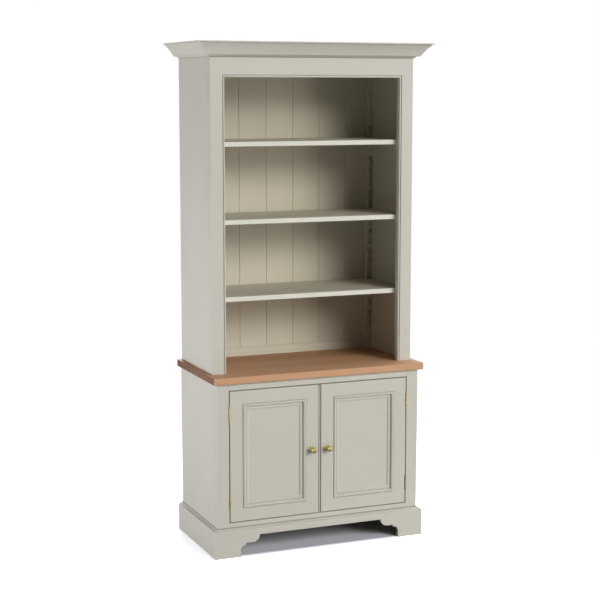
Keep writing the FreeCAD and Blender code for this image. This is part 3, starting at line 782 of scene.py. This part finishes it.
def openingBead():
    # three lengths round the rack's opening, mitred at its upper corners
    nose, front, rear = bead["nose"], rack["front"], rack["frameBack"]
    inner, outer = rack["opening"], rack["opening"] + bead["wide"]
    top, over = rack["openingHigh"], rack["openingHigh"] + bead["wide"]
    upright = lengthOf("Z", [(inner, front, nose), (outer, front, nose), (outer, rear), (inner, rear)],
                       rack["low"], over)
    saw(upright, spot(inner, 0, top), (-1, 0, 1))
    other = mirroredCopy(upright, "beadLeft")
    level = lengthOf("X", [(front, top, nose), (front, over, nose), (rear, over), (rear, top)],
                     -outer, outer)
    for side in (-1, 1):
        saw(level, spot(side * inner, 0, top), (side, 0, -1))
    fitted(joined("openingBead", [upright, other, level]), "rack_bead")


boarding = {"wide": 125.0, "joints": 6, "rebate": 8.0, "vee": 2.5, "tongue": (3.6, 6.9),
            "tongueLong": 5.5, "grooveDeeper": 0.5, "slack": 0.1, "ease": (0.35, 2), "sharp": 20.0}


def boardSection(left, right, reach):
    # one board across the back: a groove on its left and a tongue on its right, but for the end boards
    look = boarding
    front, back, vee, slack = rack["boards"], rack["back"], look["vee"], look["slack"]
    near, far = [front + t for t in look["tongue"]]
    section = [(left, front)] if left == -reach else [(left, front + vee), (left + vee, front)]
    if right == reach:
        section += [(right, front), (right, back)]
    else:
        tip = right + look["tongueLong"]
        section += [(right - vee, front), (right, front + vee), (right, near), (tip, near),
                    (tip, far), (right, far), (right, back)]
    section.append((left, back))
    if left != -reach:
        groove = left + look["tongueLong"] + look["grooveDeeper"]
        section += [(left, far + slack), (groove, far + slack), (groove, near - slack),
                    (left, near - slack)]
    return section


def backBoards():
    # seven boards, tongued and grooved, with a vee down each joint
    look = boarding
    front, back = rack["boards"], rack["back"]
    reach = rack["inside"] + look["rebate"]
    joints = [look["wide"] * (n - (look["joints"] - 1) / 2) for n in range(look["joints"])]
    edges = [-reach] + joints + [reach]
    boards = []
    for left, right in zip(edges, edges[1:]):
        board = lengthOf("Z", boardSection(left, right, reach), rack["low"], rack["high"])
        # the arrises of every joint are taken off with a wipe of the plane
        boards.append(rounded(board, *look["ease"], lambda e: turnOf(e) > look["sharp"]
                              and (lies(e, "Z", y=front) or lies(e, "Z", y=back))))
    boarded = joined("backBoards", boards)
    # the boards take the warmer coat of painted bounce light
    coat(boarded, "paintedBounceZ")
    fitted(boarded, "back_boards")


backRail = {"reach": 414.0, "thick": 20.0, "high": 36.0, "bevel": 10.0, "bevelLow": 2.0,
            "bevelHigh": 1.0}


def makeBackRail():
    look, rear, low = backRail, rack["boards"], rack["low"]
    front, high = rear - look["thick"], low + look["high"]
    section = [(rear, low), (front, low), (front, high - look["bevel"], look["bevelLow"]),
               (front + look["bevel"], high, look["bevelHigh"]), (rear, high)]
    piece = lengthOf("X", section, -look["reach"], look["reach"])
    # the rail takes the warmer coat of painted bounce light
    coat(piece, "paintedBounceX")
    piece.name = "backRail"
    fitted(piece, "rack_back_rail")


openingBead()
backBoards()
makeBackRail()
print("rack done")


# each shelf is cut round the ladders, and its front edge is painted in a lighter tone as a painted
# highlight
shelf = {"thick": 20.0, "slack": 2.5, "ladderWide": 22.0, "ladderDeep": 25.0, "highlightDepth": 1.0,
         "upper": (3.2, 6), "lower": (1.8, 4), "ease": (0.6, 3), "sharp": 60.0,
         "tops": {"shelf_lower": 1067.5, "shelf_middle": 1383.9, "shelf_upper": 1700.3}}


def makeShelf(node, top):
    look = shelf
    reach = rack["inside"] - look["slack"]
    waist = reach - look["ladderWide"]
    front, rear = rack["frameBack"] + look["slack"], rack["boards"] - look["slack"]
    half = [(waist, front), (waist, front + look["ladderDeep"]), (reach, front + look["ladderDeep"]),
            (reach, rear - look["ladderDeep"]), (waist, rear - look["ladderDeep"]), (waist, rear)]
    plan = half + [(-x, y) for x, y in half[::-1]]
    piece = lengthOf("Z", plan, top - look["thick"], top)
    # the shelf takes the warmer coat of painted bounce light
    coat(piece, "paintedBounceX")
    rounded(piece, *look["upper"], lambda e: lies(e, "X", y=front, z=top))
    rounded(piece, *look["lower"], lambda e: lies(e, "X", y=front, z=top - look["thick"]))
    rounded(piece, *look["ease"], lambda e: turnOf(e) > look["sharp"] and not lies(e, y=front))
    # the front band takes the lighter tone, a painted highlight
    piece.data.materials.append(finishes["paintedHighlightEdge"])
    limit = spot(0, front + look["highlightDepth"], 0).y
    for face in piece.data.polygons:
        if face.center.y < limit:
            face.material_index = 1
    piece.name = node + "_made"
    fitted(piece, node)


for name, level in shelf["tops"].items():
    makeShelf(name, level)
print("shelves done")


# the section is drawn outward from the rack and up from the floor
cornice = {"out": 67.0, "ease": (0.4, 3),
           "section": [(0, 2039.5), (2.2, 2039.5), ((6.9, 2041.4), (9, 2045.9)), (18.6, 2046.7),
                       ((23.6, 2048.3), (25.8, 2052.3)), ((41.3, 2073.7), (60, 2093)), (60, 2095),
                       (67, 2095), (67, 2100, 1.5), (45, 2100), (0, 2062)]}


def makeCornice():
    look, half, front = cornice, rack["half"], rack["front"]
    wide = half + look["out"]
    level = lengthOf("X", placed(look["section"], lambda u, v, *r: (front - u, v, *r)), -wide, wide)
    for side in (-1, 1):
        saw(level, spot(side * half, front, 0), (side, 1, 0))
    level.name = "corniceFront"
    rounded(level, *look["ease"], lambda e: lies(e, "X") and isFree(e, "cornice_front"))
    section = placed(look["section"], lambda u, v, *r: (half + u, v, *r))
    side = lengthOf("Y", section, front - look["out"], rack["back"])
    saw(side, spot(half, front, 0), (-1, -1, 0))
    side.name = "corniceRight"
    rounded(side, *look["ease"], lambda e: lies(e, "Y") and isFree(e, "cornice_right"))
    fitted(mirroredCopy(side, "corniceLeft"), "cornice_left")
    fitted(side, "cornice_right")
    fitted(level, "cornice_front")


makeCornice()
easedCopies({"cornice_blocks": ("bareWood", 0.5)})
print("cornice done")


# screws, pins and pegs keep their nodes
plainFinish = {"worktop_screws": "steel", "shelf_pegs": "steel", "rack_dowels": "bareWood",
               "frame_hinge_screws": "brass", "hinge_pins": "brass"}
for side in ("left", "right"):
    for part, finish in (("knob_screw", "steel"), ("strike", "steel"), ("hinge_screws", "brass")):
        plainFinish["door_" + side + "_" + part] = finish
for name, finish in plainFinish.items():
    for materialSlot in nodes[name].material_slots:
        materialSlot.material = finishes[finish]
print("carried over:", len(plainFinish))


# metres; the floor is seen in a paler tone than it reflects, but for the footprint under the piece, where
# a darker seen tone is painted shade
stageLook = {"half": 30.0, "near": 0.9, "far": 2.2, "seen": (2.3, 2.33, 2.4), "under": (0.80, 0.80, 0.82),
             "bounced": (0.46, 0.46, 0.47), "shadeFootprint": {"wide": 0.44, "front": -0.232, "rear": 0.249},
             "frontBlur": 0.03, "blur": 0.02, "worldLight": 0.02}


def floorMaterial():
    # pale floor: real light and shade near the piece, with painted shade added under it, running into
    # plain white further out
    look = stageLook
    material, place = newMaterial("floor")
    x, y, z = place.split()
    away = ((x * x + y * y) ** 0.5).above(look["near"], look["far"])
    wide, front, rear = [look["shadeFootprint"][k] for k in ("wide", "front", "rear")]
    below = (y.above(front, front + look["frontBlur"]) * (1.0 - y.above(rear - look["blur"], rear))
             * (1.0 - abs(x).above(wide - look["blur"], wide)))
    straight, seen = place.seenRays()
    # under the piece the seen tone is darker: painted shade on top of the real shadow
    tone = straight.mixed(look["bounced"], below.mixed(look["seen"], look["under"]))
    matt = place.node("ShaderNodeBsdfDiffuse", None, {"Color": tone})
    plain = place.node("ShaderNodeEmission", None, {"Color": (1, 1, 1, 1), "Strength": 1.0})
    surface = place.node("ShaderNodeMixShader", None, {0: seen * away, 1: matt, 2: plain})
    place.node("ShaderNodeOutputMaterial", None, {"Surface": surface})
    return material


def buildStage():
    bpy.ops.object.select_all(action="DESELECT")
    bpy.ops.mesh.primitive_plane_add(size=2 * stageLook["half"])
    floor = bpy.context.object
    floor.name = "floor"
    floor.data.materials.append(floorMaterial())


def buildWorld():
    # white to the eye and in reflections, dim as a source of light
    dim = stageLook["worldLight"]
    world = bpy.data.worlds.new("world")
    scene.world = world
    world.use_nodes = True
    world.node_tree.nodes.clear()
    straight, seen = Wire(world.node_tree).seenRays()
    light = seen * (1 - dim) + dim
    glow = light.node("ShaderNodeBackground", None, {"Color": (1, 1, 1, 1), "Strength": light})
    glow.node("ShaderNodeOutputWorld", None, {"Surface": glow})


# where each lamp stands: azimuth round the piece, height, distance from its middle, size, watts, tint
lamps = {
    "key": dict(azimuth=20, height=12.2, distance=24.0, size=11.2, power=3250, tint=(0.95, 0.985, 1)),
    "warm": dict(azimuth=32, height=8.9, distance=24.0, size=11.2, power=1900, tint=(1, 0.97, 0.83)),
    "cool": dict(azimuth=44, height=8.9, distance=24.0, size=11.2, power=1200, tint=(0.53, 0.56, 1)),
    "low": dict(azimuth=36, height=0.3, distance=8.0, size=3.0, power=170, tint=(1, 0.97, 0.88)),
    "left": dict(azimuth=-91.5, height=0.6, distance=3.4, size=1.4, power=80, tint=(0.92, 0.94, 1)),
    "top": dict(azimuth=90, height=4.2, distance=1.6, size=1.6, power=58, tint=(0.8, 0.9, 1)),
    "right": dict(azimuth=108, height=1.4, distance=4.0, size=1.8, power=10, tint=(1, 1, 1)),
    "behind": dict(azimuth=168, height=2.4, distance=5.0, size=2.4, power=120, tint=(0.97, 0.98, 1)),
}
lampAim = (0, 0, 1.05)
largestMirrored = 5.0  # lamps wider than this leave no glare on level paint


def aimed(thing, target):
    thing.rotation_euler = (Vector(target) - thing.location).to_track_quat("-Z", "Y").to_euler()


def buildLamp(name, look):
    turn = math.radians(look["azimuth"])
    reach = look["distance"]
    lamp = bpy.data.lights.new(name, "AREA")
    lamp.shape = "DISK"
    lamp.size = look["size"]
    lamp.energy = look["power"]
    lamp.color = look["tint"]
    holder = bpy.data.objects.new(name, lamp)
    scene.collection.objects.link(holder)
    holder.visible_glossy = look["size"] < largestMirrored
    holder.location = (math.sin(turn) * reach, -math.cos(turn) * reach, look["height"])
    aimed(holder, lampAim)


sight = {"place": (-2.3943, -5.7602, 1.9066), "aim": (-0.0899, -0.213, 1.0537), "lens": 88.65,
         "sensor": 36.0}


def buildCamera():
    data = bpy.data.cameras.new("camera")
    data.sensor_width = sight["sensor"]
    data.lens = sight["lens"]
    camera = bpy.data.objects.new("camera", data)
    scene.collection.objects.link(camera)
    camera.location = sight["place"]
    aimed(camera, sight["aim"])
    scene.camera = camera


buildStage()
buildWorld()
for name, look in lamps.items():
    buildLamp(name, look)
buildCamera()
scene.view_settings.view_transform = "Standard"
print("stage, lamps and camera set")
